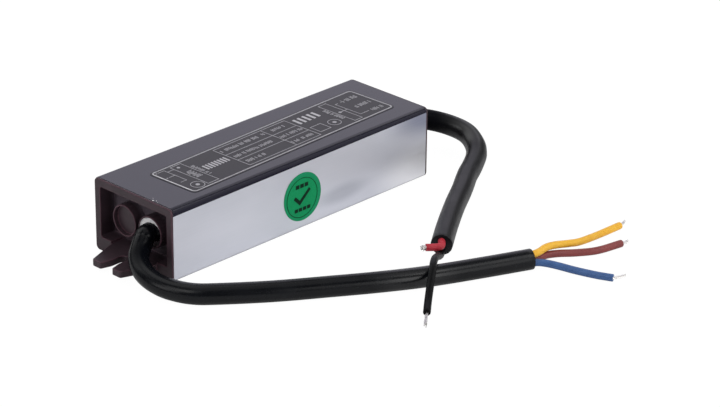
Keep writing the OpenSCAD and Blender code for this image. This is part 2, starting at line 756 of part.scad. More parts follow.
module resistors() {
    color("tan") for (pair = resistor_pins)
        axial(pair[0], resistor_size, pair);
}
module transformer_core() {
    z = transformer_z - core_h / 2;
    window = [window_l, (window_w - centre_leg) / 2, core_h + 2 * cut];
    color("#2c2b2d") difference() {
        block(transformer_at, z, [core_l, core_w, core_h]);
        for (k = [-1, 1])
            block(transformer_at + [0, k * (centre_leg + window[1]) / 2], z - cut, window);
        block(transformer_at, z - cut, [core_gap, centre_leg + cut, core_h + 2 * cut]);
    }
}
module across_core(x, l) {
    translate([transformer_at[0], transformer_at[1], transformer_z])
        along_x(x, l) children();
}
module transformer_bobbin() {
    color("#3a3a3e") {
        difference() {
            union() {
                across_core(-bobbin_l / 2, bobbin_l) square(bobbin_tube, center = true);
                for (x = [-bobbin_l / 2, bobbin_l / 2 - bobbin_wall])
                    across_core(x, bobbin_wall) square([bobbin_w, bobbin_h], center = true);
                for (k = [-1, 1])
                    block(transformer_at + [k * (bobbin_l - rail_w) / 2, 0], part_z,
                        [rail_w, bobbin_w, bobbin_wall]);
            }
            across_core(-bobbin_l, 2 * bobbin_l)
                square(bobbin_tube - 2 * bobbin_wall * [1, 1], center = true);
        }
        pins(transformer_pins, pin_d, part_z);
    }
}
module transformer_winding() {
    l = bobbin_l - 2 * bobbin_wall;
    color("orange") across_core(-l / 2, l) difference() {
        round_rect(winding_size[0], winding_size[1], 1);
        square(bobbin_tube, center = true);
    }
}
module optocoupler() {
    color("#26262a") chip_part(opto_at, opto_size, opto_pins);
}
module safety_capacitor() {
    z = part_z + disc_cap_size[0] / 2 + 0.5;
    color("royalblue") {
        rod_y(disc_cap_at[0], disc_cap_at[1], z, disc_cap_size[0], disc_cap_size[1]);
        pins(disc_cap_pins, pin_d, z);
    }
}
module output_diode() {
    color("#26262a") axial(diode_at, diode_size, diode_pins[0]);
}
module output_capacitors() {
    color("darkgreen") for (pair = out_cap_pins)
        drum(pair[0], [out_cap_d, out_cap_h], [pair]);
}
module output_choke() {
    color("darkslategray") drum(coil_at, coil_size, coil_pins);
}

// Potting compound round the whole circuit, up to a little air under the roof
module lead_way(x, lead_d, end) {
    rod_x(x - cut, -collar_y, collar_z, lead_d + 2 * pot_fit, end - x + cut);
}
module potting_compound() {
    hollow = -half_l + collar_set + blind_depth + web_t;
    fill_l = -inner_l / 2 - hollow + cut;
    color("dimgray") difference() {
        union() {
            along_x(-inner_l / 2, inner_l) translate([-pot_w / 2, floor_z]) square([pot_w, pot_h]);
            for (turn = [0, 180])
                for (y = [-collar_y, collar_y])
                    rotate(turn) rod_x(hollow, y, collar_z, collar_bore - 2 * pot_fit, fill_l);
        }
        lead_way(hollow, ac_d, AC_ROUTE[0][0]);
        rotate(180) lead_way(hollow, dc_d, -DC_ROUTE[0][0]);
        circuit_board();
        input_wires();
        output_wires();
        fuse();
        line_capacitor();
        line_choke();
        bridge_rectifier();
        bulk_capacitor();
        controller_chip();
        resistors();
        block(transformer_at, transformer_z - core_h / 2, [core_l, core_w, core_h]);
        block(transformer_at, part_z, [bobbin_l, bobbin_w, bobbin_h]);
        optocoupler();
        safety_capacitor();
        output_diode();
        output_capacitors();
        output_choke();
        pins(BOARD_PINS, pin_d + 2 * pin_fit, part_z);
    }
}

housing();
top_film();
rating_label();
label_print();
label_words();
check_sticker();
check_print();
input_end_cap();
output_end_cap();
input_seal();
output_seal();
ac_lead();
ac_core_yellow();
ac_core_brown();
ac_core_blue();
ac_wire_ends();
dc_lead();
dc_core_red();
dc_core_black();
dc_wire_ends();
insulating_sleeve();
circuit_board();
input_wires();
output_wires();
fuse();
line_capacitor();
line_choke();
bridge_rectifier();
bulk_capacitor();
controller_chip();
resistors();
transformer_core();
transformer_bobbin();
transformer_winding();
optocoupler();
safety_capacitor();
output_diode();
output_capacitors();
output_choke();
potting_compound();
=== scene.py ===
import math
import random

import bmesh
import bpy
from mathutils import Matrix, Vector


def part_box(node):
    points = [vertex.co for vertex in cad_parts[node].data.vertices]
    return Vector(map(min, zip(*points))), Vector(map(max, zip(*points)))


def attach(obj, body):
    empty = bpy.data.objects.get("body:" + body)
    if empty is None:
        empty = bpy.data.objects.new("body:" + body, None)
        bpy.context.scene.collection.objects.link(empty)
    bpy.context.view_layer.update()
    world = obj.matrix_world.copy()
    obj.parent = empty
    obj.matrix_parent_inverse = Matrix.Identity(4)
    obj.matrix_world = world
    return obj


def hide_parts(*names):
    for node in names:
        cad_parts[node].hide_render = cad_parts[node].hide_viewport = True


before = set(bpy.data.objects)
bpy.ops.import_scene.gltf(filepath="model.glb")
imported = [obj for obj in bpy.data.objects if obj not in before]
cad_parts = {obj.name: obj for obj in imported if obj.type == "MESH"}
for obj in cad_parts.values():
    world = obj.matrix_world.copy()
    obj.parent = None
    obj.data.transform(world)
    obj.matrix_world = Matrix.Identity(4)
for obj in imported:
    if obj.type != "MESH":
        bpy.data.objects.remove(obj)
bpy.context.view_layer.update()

MM = 0.001
UP = Vector((0, 0, 1))

# Points along each lead, core and bare end, in millimetres, as in the part's source
AC_ROUTE = [(-44, -5.7, 12.4), (-53.7, -5.7, 12.4), (-56.1, -6, 11.2), (-58.2, -6.9, 9.4),
            (-60.7, -8.7, 7.7), (-62.6, -11.5, 6.3), (-63.7, -15.5, 5), (-63.7, -20.5, 4),
            (-62.3, -25.5, 3.4), (-59.5, -31, 3.2), (-54.5, -36, 3.2), (-42, -46, 3.2),
            (-28, -55.5, 3.2), (-15, -64, 3.2), (-2, -71.5, 3.2), (13, -78.5, 3.2), (28, -85, 3.2)]
DC_ROUTE = [(44, 5.7, 12.4), (55, 5.7, 12.4), (61, 4.7, 12), (67, 1.8, 11), (72.5, -2.5, 9.8),
            (76.3, -8, 8.4), (77.8, -13.5, 6.9), (76.1, -18.7, 5.2), (72.1, -23.1, 4.1), (65.7, -27.2, 3.5),
            (58.7, -31.2, 3.4), (49.7, -37.2, 3.4), (39.2, -43.7, 3.4), (27.2, -51.7, 3.4),
            (15.8, -59.8, 3.4)]
YELLOW_ROUTE = [(31, -85.3, 4.6), (35, -84.6, 4.5), (39, -84.9, 4.1), (44, -86, 3.3), (49, -86.4, 2.4),
                (58, -86, 1.5), (68.5, -86, 1.2)]
BROWN_ROUTE = [(31.5, -84.6, 2.3), (35.5, -84.9, 2), (39.5, -86.3, 1.6), (44, -89, 1.2),
               (50, -92.6, 1.2), (59, -94.5, 1.2)]
BLUE_ROUTE = [(29.4, -87.4, 2.4), (31.2, -89.8, 2.1), (33, -92.8, 1.6), (34.6, -96.6, 1.2),
              (36.6, -103, 1.2), (38.8, -108, 1.2)]
RED_ROUTE = [(14.4, -61.1, 4.3), (12.9, -61.6, 4.4), (11.2, -60.8, 4.5), (9.1, -59.5, 4.7)]
BLACK_ROUTE = [(13.5, -61.7, 1.9), (11, -63.4, 2.6), (8.5, -65.2, 4), (5.5, -67.3, 5.5), (2.2, -69.6, 6.9),
               (-1, -72, 7.6), (-4.2, -74.6, 7.3), (-7.8, -77.2, 5.2), (-12.2, -80.4, 2.3),
               (-17.2, -84.5, 1.2)]
YELLOW_END = [(68.5, -86, 1.2), (70.4, -85.5, 1.1), (72.3, -84.9, 1.1)]
BROWN_END = [(59, -94.5, 1.2), (60.5, -94.7, 1.1), (62, -94.8, 1.1)]
BLUE_END = [(38.8, -108, 1.2), (41, -108.8, 1.1), (43.1, -109.3, 1.1)]
RED_END = [(9.1, -59.5, 4.7), (8.3, -59.2, 4.7), (7.5, -59, 4.7)]
BLACK_END = [(-17.2, -84.5, 1.2), (-20.2, -86.9, 1), (-23.2, -89.4, 0.8)]

# Diameters of the jackets and cores, the jackets' walls and how deep they are cut open, in metres; in
# millimetres, how far the cores lie from a lead's axis and how far inside it they start
AC_DIAMETER = 6.4 * MM
DC_DIAMETER = 6.8 * MM
CORE_DIAMETER = 2.3 * MM
AC_WALL = 0.62 * MM
DC_WALL = 0.98 * MM
JACKET_HOLLOW = 3.5 * MM
AC_CORE_REACH = 1.4
DC_CORE_REACH = 1.2
CORE_SUNK = 3

# A bare end: how many strands, how far they start inside the core, and their twist in radians
STRAND_COUNT = 7
STRAND_SEAT = 0.6 * MM
STRAND_TWIST = 3.2

# The collar that a lead leaves through, and the sealant in it: its depths are measured from the rim face,
# it is highest where SEAL_TURN points and falls off by SEAL_FALL, and its faces sag between the two walls,
# which they reach the sooner the larger SEAL_FLARE is
COLLAR_PLACE = Vector((-55, -5.7, 12.4)) * MM
COLLAR_BORE = 9.2 * MM
SEAL_HIGH = 1.4 * MM
SEAL_LOW = 2.9 * MM
SEAL_BACK = 4.4 * MM
SEAL_TURN = math.radians(50)
SEAL_FALL = 1.3
SEAL_FLARE = 1.5
SEAL_SAG = 0.35 * MM
SEAL_BACK_SAG = 0.1 * MM

# The middle of the round sticker, in millimetres
STICKER_MIDDLE = (-1.2, -17.1, 10.7)

# The label in millimetres, its turn on the film, a grid of a hundred cells to its length, the strip that holds
# its border, and the thickness of its ink in metres
LABEL_LENGTH = 90.2
LABEL_WIDTH = 19.8
LABEL_TURN = math.radians(2.2)
CELL = LABEL_LENGTH / 100
LABEL_BORDER = 1.3
INK = 0.05 * MM

# Small print: each row's corners on the label's grid, whether it reads along the case, and the width and
# pitch of its strokes in millimetres; strokes wider than BOLD_WIDTH are bold, the others leave gaps
PRINT_ROWS = [((-40.9, -2.7, -37.7, 3.2), False, 0.26, 0.6), ((-36.1, -3.7, -34.5, 5.2), False, 0.24, 0.55),
              ((-33.4, -1.1, -22.3, 2.4), True, 0.62, 1.25), ((-20.3, 5.0, 1.2, 7.0), True, 0.26, 0.62),
              ((-20.1, -1.1, -1.9, 0.9), True, 0.26, 0.62), ((-19.8, -6.7, -11.2, -4.7), True, 0.26, 0.62),
              ((4.5, 5.0, 11, 6.8), True, 0.26, 0.62), ((2.4, -1.1, 13.1, 0.8), True, 0.26, 0.62),
              ((2.2, -6.8, 12.3, -5), True, 0.26, 0.62), ((15.5, 2.5, 27.4, 6.9), True, 0.95, 2.1),
              ((28.7, -4.7, 30.5, 5.2), False, 0.24, 0.55), ((42, 4.3, 47.6, 6.9), True, 0.26, 0.62),
              ((39.9, -2.1, 47.6, 0.2), True, 0.26, 0.62), ((42, -7.9, 47.6, -5.6), True, 0.26, 0.62)]
BOLD_WIDTH = 0.5
GAP_CHANCE = 0.16


def add_camera():
    """The photograph's viewpoint: in front of the input end, to the right of it and above"""
    place = (-0.577714, -0.596339, 0.386991)
    azimuth = math.radians(-46.113)
    elevation = math.radians(24.835)
    roll = math.radians(0.608)
    back = Vector((math.sin(azimuth) * math.cos(elevation), -math.cos(azimuth) * math.cos(elevation),
                   math.sin(elevation)))
    level = UP.cross(back).normalized()
    upright = back.cross(level)
    right = level * math.cos(roll) + upright * math.sin(roll)
    top = upright * math.cos(roll) - level * math.sin(roll)
    turn = Matrix((right, top, back)).transposed()
    data = bpy.data.cameras.new("camera")
    data.sensor_width = 36
    data.lens = 146.92
    data.clip_start = 0.01
    camera = bpy.data.objects.new("camera", data)
    camera.matrix_world = Matrix.Translation(place) @ turn.to_4x4()
    bpy.context.scene.collection.objects.link(camera)
    bpy.context.scene.camera = camera


def srgb(code):
    """Linear colour of an sRGB hex value"""
    parts = [int(code[i:i + 2], 16) / 255 for i in (1, 3, 5)]
    linear = [p / 12.92 if p <= 0.04045 else ((p + 0.055) / 1.055) ** 2.4 for p in parts]
    return (*linear, 1)


def new_material(name, base, **sockets):
    """A material whose plain values sit on the shader's own sockets"""
    material = bpy.data.materials.new(name)
    material.use_nodes = True
    shader = material.node_tree.nodes["Principled BSDF"]
    shader.inputs["Base Color"].default_value = srgb(base)
    for socket, value in sockets.items():
        shader.inputs[socket.replace("_", " ")].default_value = value
    return material, material.node_tree, shader


def add(tree, kind, inputs, out=None, feeds=None, **settings):
    """One node with its settings and links: gives back an output, which may feed a socket"""
    # In a Mix node, socket 0 is the share of B, 2 and 3 are the numbers A and B, 6 and 7 the colours A and B
    made = tree.nodes.new(kind)
    for key, value in settings.items():
        setattr(made, key, value)
    for socket, value in inputs.items():
        if isinstance(value, bpy.types.NodeSocket):
            tree.links.new(value, made.inputs[socket])
        else:
            made.inputs[socket].default_value = value
    result = made.outputs[out] if out else next(o for o in made.outputs if o.enabled)
    if feeds:
        tree.links.new(result, feeds)
    return result


def spots(tree, size, detail=2, low=0.3, high=0.7):
    """A pattern of soft spots, 0 to 1, whose size along x, y and z is in millimetres"""
    place = add(tree, "ShaderNodeTexCoord", {}, "Object")
    scaled = add(tree, "ShaderNodeMapping", {"Vector": place, "Scale": [1 / (s * MM) for s in size]})
    cloud = add(tree, "ShaderNodeTexNoise", {"Vector": scaled, "Scale": 1, "Detail": detail})
    return add(tree, "ShaderNodeMapRange", {"Value": cloud, "From Min": low, "From Max": high})


def patch(tree, centre, reach, strength):
    """A soft-edged patch on the surface, 0 to strength, about a centre in millimetres"""
    place = add(tree, "ShaderNodeTexCoord", {}, "Object")
    about = add(tree, "ShaderNodeMapping", {
        "Vector": place, "Location": [-c / r for c, r in zip(centre, reach)],
        "Scale": [1 / (r * MM) for r in reach]})
    away = add(tree, "ShaderNodeVectorMath", {0: about}, "Value", operation="LENGTH")
    return add(tree, "ShaderNodeMapRange", {"Value": away, "From Min": 1, "From Max": 0.25,
                                            "To Max": strength}, interpolation_type="SMOOTHSTEP")


def patch_at_both_ends(tree, centre, reach, strength):
    """One patch at the input end, and the same one turned half round at the output end"""
    x, y, z = centre
    at_input = patch(tree, (x, y, z), reach, strength)
    at_output = patch(tree, (-x, -y, z), reach, strength)
    return add(tree, "ShaderNodeMath", {0: at_input, 1: at_output}, operation="MAXIMUM")


def height_over_floor(tree):
    """How high a point of the surface lies, in metres"""
    place = add(tree, "ShaderNodeTexCoord", {}, "Object")
    return add(tree, "ShaderNodeSeparateXYZ", {"Vector": place}, "Z")


def anodised_aluminium():
    """Extruded and clear anodised: a dull mirror that blurs what it shows, with faint die lines along it and
    its tone a little clouded, and with painted reflections, darker high at one end, paler low at that end and
    a smudge in the middle, and painted shade along the bottom edge"""
    material, tree, shader = new_material("anodised_aluminium", "#dcdee7", Metallic=1, Roughness=0.5)
    clouds = spots(tree, (34, 16, 16))
    tone = add(tree, "ShaderNodeMix", {0: clouds, 6: srgb("#d6d8e1"), 7: srgb("#e0e1ea")}, data_type="RGBA")
    # Painted reflection: a dark bluish patch high on the side at the far end
    painted_dark_reflection = patch(tree, (58, -17, 22), (26, 20, 10), 0.8)
    tone = add(tree, "ShaderNodeMix", {0: painted_dark_reflection, 6: tone, 7: srgb("#747990")}, data_type="RGBA")
    # Painted reflection: a pale patch low on the side at the far end
    painted_light_reflection = patch(tree, (53, -17, 4), (26, 20, 11), 0.9)
    tone = add(tree, "ShaderNodeMix", {0: painted_light_reflection, 6: tone, 7: srgb("#fbfbff")}, data_type="RGBA")
    # Painted reflection: a grey smudge along the middle of the side
    painted_reflection_smudge = patch(tree, (16.5, -17, 6.6), (15, 20, 4.2), 0.6)
    tone = add(tree, "ShaderNodeMix", {0: painted_reflection_smudge, 6: tone, 7: srgb("#b4b7c2")}, data_type="RGBA")
    # Painted shade: darker along the bottom edge, where it mirrors the shadowed floor under the case
    painted_foot_shade = add(tree, "ShaderNodeMapRange", {"Value": height_over_floor(tree), "From Min": 0.9 * MM,
                                            "From Max": 0.3 * MM, "To Max": 0.85})
    add(tree, "ShaderNodeMix", {0: painted_foot_shade, 6: tone, 7: srgb("#4a4a55")}, feeds=shader.inputs["Base Color"],
        data_type="RGBA")
    die_lines = spots(tree, (170, 0.45, 0.45), 3)
    add(tree, "ShaderNodeMapRange", {"Value": die_lines, "To Min": 0.46, "To Max": 0.54},
        feeds=shader.inputs["Roughness"])
    add(tree, "ShaderNodeBump", {"Height": die_lines, "Distance": 0.002 * MM, "Strength": 0.5},
        feeds=shader.inputs["Normal"])
    return material


def calendered_film():
    """Blue-black polyester film, calendered: smooth and glossy, with a slight waver in what it mirrors, its
    gloss strained away where it is folded down the sides"""
    material, tree, shader = new_material("calendered_film", "#161426", Roughness=0.18, IOR=1.5)
    fold_low = 23.2 * MM
    fold_high = 23.7 * MM
    add(tree, "ShaderNodeMapRange", {"Value": height_over_floor(tree), "From Min": fold_low,
                                     "From Max": fold_high, "To Min": 0.2, "To Max": 0.5},
        feeds=shader.inputs["Specular IOR Level"])
    dust = spots(tree, (11, 11, 11), 3)
    add(tree, "ShaderNodeMapRange", {"Value": dust, "To Min": 0.15, "To Max": 0.22},
        feeds=shader.inputs["Roughness"])
    waver = spots(tree, (2.4, 2.4, 2.4))
    add(tree, "ShaderNodeBump", {"Height": waver, "Distance": 0.003 * MM, "Strength": 0.5},
        feeds=shader.inputs["Normal"])
    return material


def satin_label():
    """Printed polyester label: satin, a little duller than the film, with a fine even grain"""
    material, tree, shader = new_material("satin_label", "#1c1b1f", Roughness=0.35, IOR=1.45)
    shader.inputs["Specular IOR Level"].default_value = 0.32
    grain = spots(tree, (0.6, 0.6, 0.6))
    add(tree, "ShaderNodeMix", {0: grain, 6: srgb("#19181c"), 7: srgb("#211f24")},
        feeds=shader.inputs["Base Color"], data_type="RGBA")
    add(tree, "ShaderNodeBump", {"Height": grain, "Distance": 0.002 * MM, "Strength": 0.4},
        feeds=shader.inputs["Normal"])
    return material


def screen_ink(name, thin_ink_and_painted_shade, full, gloss=0.5):
    """Screen-printed ink: matt, a little uneven where the screen left less of it"""
    material, tree, shader = new_material(name, full, Roughness=0.55)
    shader.inputs["Specular IOR Level"].default_value = gloss
    cover = spots(tree, (1.1, 1.1, 1.1), 3)
    add(tree, "ShaderNodeMix", {0: cover, 6: srgb(thin_ink_and_painted_shade), 7: srgb(full)}, feeds=shader.inputs["Base Color"],
        data_type="RGBA")
    return material


def moulded_plastic(name, dark, light, roughness):
    """Glass-filled moulding with a maroon cast: satin, a fine spark-eroded grain, flow clouds in its tone,
    and painted light that makes the back wall of each recess lighter"""
    material, tree, shader = new_material(name, dark, Roughness=roughness, IOR=1.5)
    shader.inputs["Specular IOR Level"].default_value = 0.25
    flow = spots(tree, (7, 7, 7))
    tone = add(tree, "ShaderNodeMix", {0: flow, 6: srgb(dark), 7: srgb(light)}, data_type="RGBA")
    # Painted light: the back wall of each recess lighter, as if lit from the front
    painted_recess_light = patch_at_both_ends(tree, (-48.8, 0, 15), (2.6, 34, 20), 0.9)
    add(tree, "ShaderNodeMix", {0: painted_recess_light, 6: tone, 7: srgb("#665c65")}, feeds=shader.inputs["Base Color"],
        data_type="RGBA")
    grain = spots(tree, (0.35, 0.35, 0.35), 3)
    add(tree, "ShaderNodeMapRange", {"Value": grain, "To Min": roughness - 0.06,
                                     "To Max": roughness + 0.06}, feeds=shader.inputs["Roughness"])
    add(tree, "ShaderNodeBump", {"Height": grain, "Distance": 0.01 * MM, "Strength": 0.4},
        feeds=shader.inputs["Normal"])
    return material


def silicone():
    """Cured silicone sealant: white and waxy, soft to light, a little lumpy from the nozzle, and near black at
    its low side with painted shade"""
    material, tree, shader = new_material("silicone", "#eeeced", Roughness=0.4, IOR=1.41)
    # Painted shade: the sealant's low side made near black, as if deep in shadow
    thin_ink_and_painted_shade = patch_at_both_ends(tree, (-53, -8.2, 8.8), (5, 5.5, 4.8), 1)
    add(tree, "ShaderNodeMix", {0: thin_ink_and_painted_shade, 6: srgb("#eeeced"), 7: srgb("#2c292b")},
        feeds=shader.inputs["Base Color"], data_type="RGBA")
    shader.inputs["Subsurface Weight"].default_value = 0.15
    shader.inputs["Subsurface Radius"].default_value = (0.8 * MM, 0.7 * MM, 0.6 * MM)
    shader.inputs["Subsurface Scale"].default_value = 1
    lumps = spots(tree, (0.9, 0.9, 0.9), 3)
    add(tree, "ShaderNodeBump", {"Height": lumps, "Distance": 0.06 * MM, "Strength": 0.5},
        feeds=shader.inputs["Normal"])
    return material


def lead_jacket(name, dark, light, roughness, gloss, *worn):
    """Extruded PVC jacket: near black, with a drag grain and a few grains of dust, its gloss rubbed down or
    up in worn places, each a centre, a reach and the gloss there"""
    material, tree, shader = new_material(name, dark, Roughness=roughness, IOR=1.5)
    shader.inputs["Specular IOR Level"].default_value = gloss
    level = gloss
    for centre, reach, rubbed in worn:
        here = patch(tree, centre, reach, 1)
        level = add(tree, "ShaderNodeMix", {0: here, 2: level, 3: rubbed},
                    feeds=shader.inputs["Specular IOR Level"])
    marks = spots(tree, (6, 6, 6), 3)
    tone = add(tree, "ShaderNodeMix", {0: marks, 6: srgb(dark), 7: srgb(light)}, data_type="RGBA")
    dust = spots(tree, (0.5, 0.5, 0.5), 1, 0.74, 0.8)
    add(tree, "ShaderNodeMix", {0: dust, 6: tone, 7: srgb("#303338")}, feeds=shader.inputs["Base Color"],
        data_type="RGBA")
    add(tree, "ShaderNodeMapRange", {"Value": marks, "To Min": roughness - 0.05,
                                     "To Max": roughness + 0.05}, feeds=shader.inputs["Roughness"])
    grain = spots(tree, (0.6, 0.6, 0.6), 3)
    add(tree, "ShaderNodeBump", {"Height": grain, "Distance": 0.008 * MM, "Strength": 0.5},
        feeds=shader.inputs["Normal"])
    return material


def core_insulation(name, low, high, gloss=0.35):
    """Thin coloured PVC insulation: satin, its tone a little uneven over the strands"""
    material, tree, shader = new_material(name, low, Roughness=0.42, IOR=1.5)
    shader.inputs["Specular IOR Level"].default_value = gloss
    tone = spots(tree, (3.2, 3.2, 3.2))
    add(tree, "ShaderNodeMix", {0: tone, 6: srgb(low), 7: srgb(high)}, feeds=shader.inputs["Base Color"],
        data_type="RGBA")
    grain = spots(tree, (0.5, 0.5, 0.5))
    add(tree, "ShaderNodeBump", {"Height": grain, "Distance": 0.008 * MM, "Strength": 0.5},
        feeds=shader.inputs["Normal"])
    return material


def tinned_copper():
    """Solder-dipped copper strands: bright, with solder that fills and dulls them in patches"""
    material, tree, shader = new_material("tinned_copper", "#dcdad8", Metallic=1, Roughness=0.24)
    solder = spots(tree, (0.7, 0.7, 0.7), 3)
    add(tree, "ShaderNodeMapRange", {"Value": solder, "To Min": 0.14, "To Max": 0.4},
        feeds=shader.inputs["Roughness"])
    add(tree, "ShaderNodeBump", {"Height": solder, "Distance": 0.03 * MM, "Strength": 0.6},
        feeds=shader.inputs["Normal"])
    return material


def sticker_paper():
    """Green coated paper: even and satin, with a fine paper grain, paler round the rim past the ring"""
    material, tree, shader = new_material("sticker_paper", "#16925a", Roughness=0.58)
    shader.inputs["Specular IOR Level"].default_value = 0.06
    grain = spots(tree, (0.55, 0.55, 0.55), 3)
    tone = add(tree, "ShaderNodeMix", {0: grain, 6: srgb("#128d56"), 7: srgb("#179760")}, data_type="RGBA")
    place = add(tree, "ShaderNodeTexCoord", {}, "Object")
    about = add(tree, "ShaderNodeMapping", {"Vector": place, "Location": [-c * MM for c in STICKER_MIDDLE]})
    away = add(tree, "ShaderNodeVectorMath", {0: about}, "Value", operation="LENGTH")
    rim = add(tree, "ShaderNodeMapRange", {"Value": away, "From Min": 6.5 * MM, "From Max": 7.6 * MM})
    add(tree, "ShaderNodeMix", {0: rim, 6: tone, 7: srgb("#1f8f62")}, feeds=shader.inputs["Base Color"],
        data_type="RGBA")
    add(tree, "ShaderNodeBump", {"Height": grain, "Distance": 0.004 * MM, "Strength": 0.4},
        feeds=shader.inputs["Normal"])
    return material


def plain_part(name, low, high, roughness):
    """A part inside the case: its own tone with a moulding grain"""
    material, tree, shader = new_material(name, low, Roughness=roughness)
    grain = spots(tree, (0.7, 0.7, 0.7))
    add(tree, "ShaderNodeMix", {0: grain, 6: srgb(low), 7: srgb(high)}, feeds=shader.inputs["Base Color"],
        data_type="RGBA")
    return material


ALUMINIUM = anodised_aluminium()
FILM = calendered_film()
LABEL = satin_label()
BORDER_INK = screen_ink("border_ink", "#c8c7cc", "#e2e1e6")
FINE_INK = screen_ink("fine_ink", "#9c9ba1", "#bbbabf")
BOLD_INK = screen_ink("bold_ink", "#aeadb2", "#c9c8cd")
CAP = moulded_plastic("moulded_plastic", "#352a30", "#413239", 0.42)
# The caps' rounded edges in a lighter maroon: a painted highlight along every edge
CAP_EDGE_HIGHLIGHT = moulded_plastic("painted_highlight_moulding_edge", "#48323b", "#573d47", 0.42)
SILICONE = silicone()
RUBBERY_JACKET = lead_jacket("mains_jacket", "#06070b", "#0b0d12", 0.26, 0.21,
                             ((-60.5, -9.5, 9), (8, 8, 6), 0.05), ((-6, -70, 4), (17, 13, 8), 0.42))
DULL_JACKET = lead_jacket("low_voltage_jacket", "#08080c", "#0e0e13", 0.4, 0.28,
                          ((72.5, -2.5, 10), (10, 9, 9), 0.02), ((77.5, -15.5, 6), (9, 9.5, 9), 0.84))
YELLOW = core_insulation("yellow_insulation", "#f0b32a", "#f8c03c")
BROWN = core_insulation("brown_insulation", "#7c3737", "#8a403f")
BLUE = core_insulation("blue_insulation", "#3c5c90", "#46689d")
RED = core_insulation("red_insulation", "#b02635", "#c03644", 0.3)
BLACK = core_insulation("black_insulation", "#060608", "#0b0b0d", 0.09)
TINNED = tinned_copper()
GREEN = sticker_paper()
STICKER_INK = screen_ink("sticker_ink", "#062a1c", "#04251a", 0.08)


def deselect():
    for o in bpy.context.selected_objects:
        o.select_set(False)


def only(o):
    deselect()
    o.select_set(True)
    bpy.context.view_layer.objects.active = o


def joined(pieces, name):
    """Several pieces made into one"""
    deselect()
    for o in pieces:
        o.select_set(True)
    bpy.context.view_layer.objects.active = pieces[0]
    bpy.ops.object.join()
    whole = bpy.context.object
    whole.name = name
    return whole


def keep(piece, slot, *nodes):
    """Puts a finished piece on the body in place of its CAD nodes; its slot is not used"""
    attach(piece, "root")
    if nodes:
        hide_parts(*nodes)
    return piece


def settle(piece, material, name):
    """Applies a new piece's place, names it and gives it its finish"""
    only(piece)
    bpy.ops.object.transform_apply(location=True, rotation=True, scale=True)
    piece.name = name
    piece.data.materials.clear()
    piece.data.materials.append(material)
    return piece


def smooth_path(route, start=None, steps=8):
    """Points of one smooth curve through a route, in metres, closed up from a start if one is given"""
    points = [Vector(p) * MM for p in route]
    if start:
        points = list(start) + points
    ends = [2 * points[0] - points[1], *points, 2 * points[-1] - points[-2]]
    path = []
    for a, b, c, d in zip(ends, ends[1:], ends[2:], ends[3:]):
        for i in range(steps):
            t = i / steps
            path.append(0.5 * (2 * b + (c - a) * t + (2 * a - 5 * b + 4 * c - d) * t * t
                               + (3 * b - a - 3 * c + d) * t ** 3))
    path.append(points[-1])
    return path


def swept(name, path, diameter, material, rounds=6):
    """A round tube along a path, as a mesh with closed ends"""
    curve = bpy.data.curves.new(name, "CURVE")
    curve.dimensions = "3D"
    curve.bevel_depth = diameter / 2
    curve.bevel_resolution = rounds
    curve.use_fill_caps = True
    line = curve.splines.new("POLY")
    line.points.add(len(path) - 1)
    for point, place in zip(line.points, path):
        point.co = (*place, 1)
    tube = bpy.data.objects.new(name, curve)
    bpy.context.scene.collection.objects.link(tube)
    only(tube)
    bpy.ops.object.convert(target="MESH")
    tube = bpy.context.object
    bpy.ops.object.mode_set(mode="EDIT")
    bpy.ops.mesh.select_all(action="SELECT")
    bpy.ops.mesh.remove_doubles(threshold=0.001 * MM)
    bpy.ops.mesh.normals_make_consistent(inside=False)
    bpy.ops.object.mode_set(mode="OBJECT")
    tube.data.materials.clear()
    tube.data.materials.append(material)
    return tube


def select_faces(o, chosen):
    """Goes into edit mode with only the faces selected for which chosen is true"""
    only(o)
    bpy.ops.object.mode_set(mode="EDIT")
    bpy.ops.mesh.select_mode(type="FACE")
    bpy.ops.mesh.select_all(action="DESELECT")
    shape = bmesh.from_edit_mesh(o.data)
    for face in shape.faces:
        face.select = chosen(face)
    bmesh.update_edit_mesh(o.data)


def hollow_end(tube, path, wall):
    """Cuts the tube's far end open, with a wall left round the cores"""
    end = path[-1]
    inward = (path[-2] - end).normalized()
    select_faces(tube, lambda f: (f.calc_center_median() - end).length < 0.02 * MM)
    bpy.ops.mesh.inset(thickness=wall)
    bpy.ops.mesh.extrude_region_move(TRANSFORM_OT_translate={"value": inward * JACKET_HOLLOW})
    bpy.ops.object.mode_set(mode="OBJECT")


def round_edges(o, width, angle=40, edge_slot=-1):
    """Small rounds on the sharp edges, in a material slot of their own if one is given"""
    only(o)
    bevel = o.modifiers.new("rounds", "BEVEL")
    bevel.width = width
    bevel.segments = 2
    bevel.limit_method = "ANGLE"
    bevel.angle_limit = math.radians(angle)
    bevel.use_clamp_overlap = True
    bevel.material = edge_slot
    bpy.ops.object.modifier_apply(modifier=bevel.name)
    bpy.ops.object.shade_smooth_by_angle(angle=math.radians(angle))


def seat(route, reach, turn):
    """Two points of a core where it leaves its jacket: one inside it, one in its end face"""
    ahead = (Vector(route[-1]) - Vector(route[-2])).normalized()
    side = ahead.cross(UP).normalized()
    over = side.cross(ahead)
    angle = math.radians(turn)
    face = Vector(route[-1]) + reach * (math.sin(angle) * side + math.cos(angle) * over)
    return [(face - CORE_SUNK * ahead) * MM, face * MM]


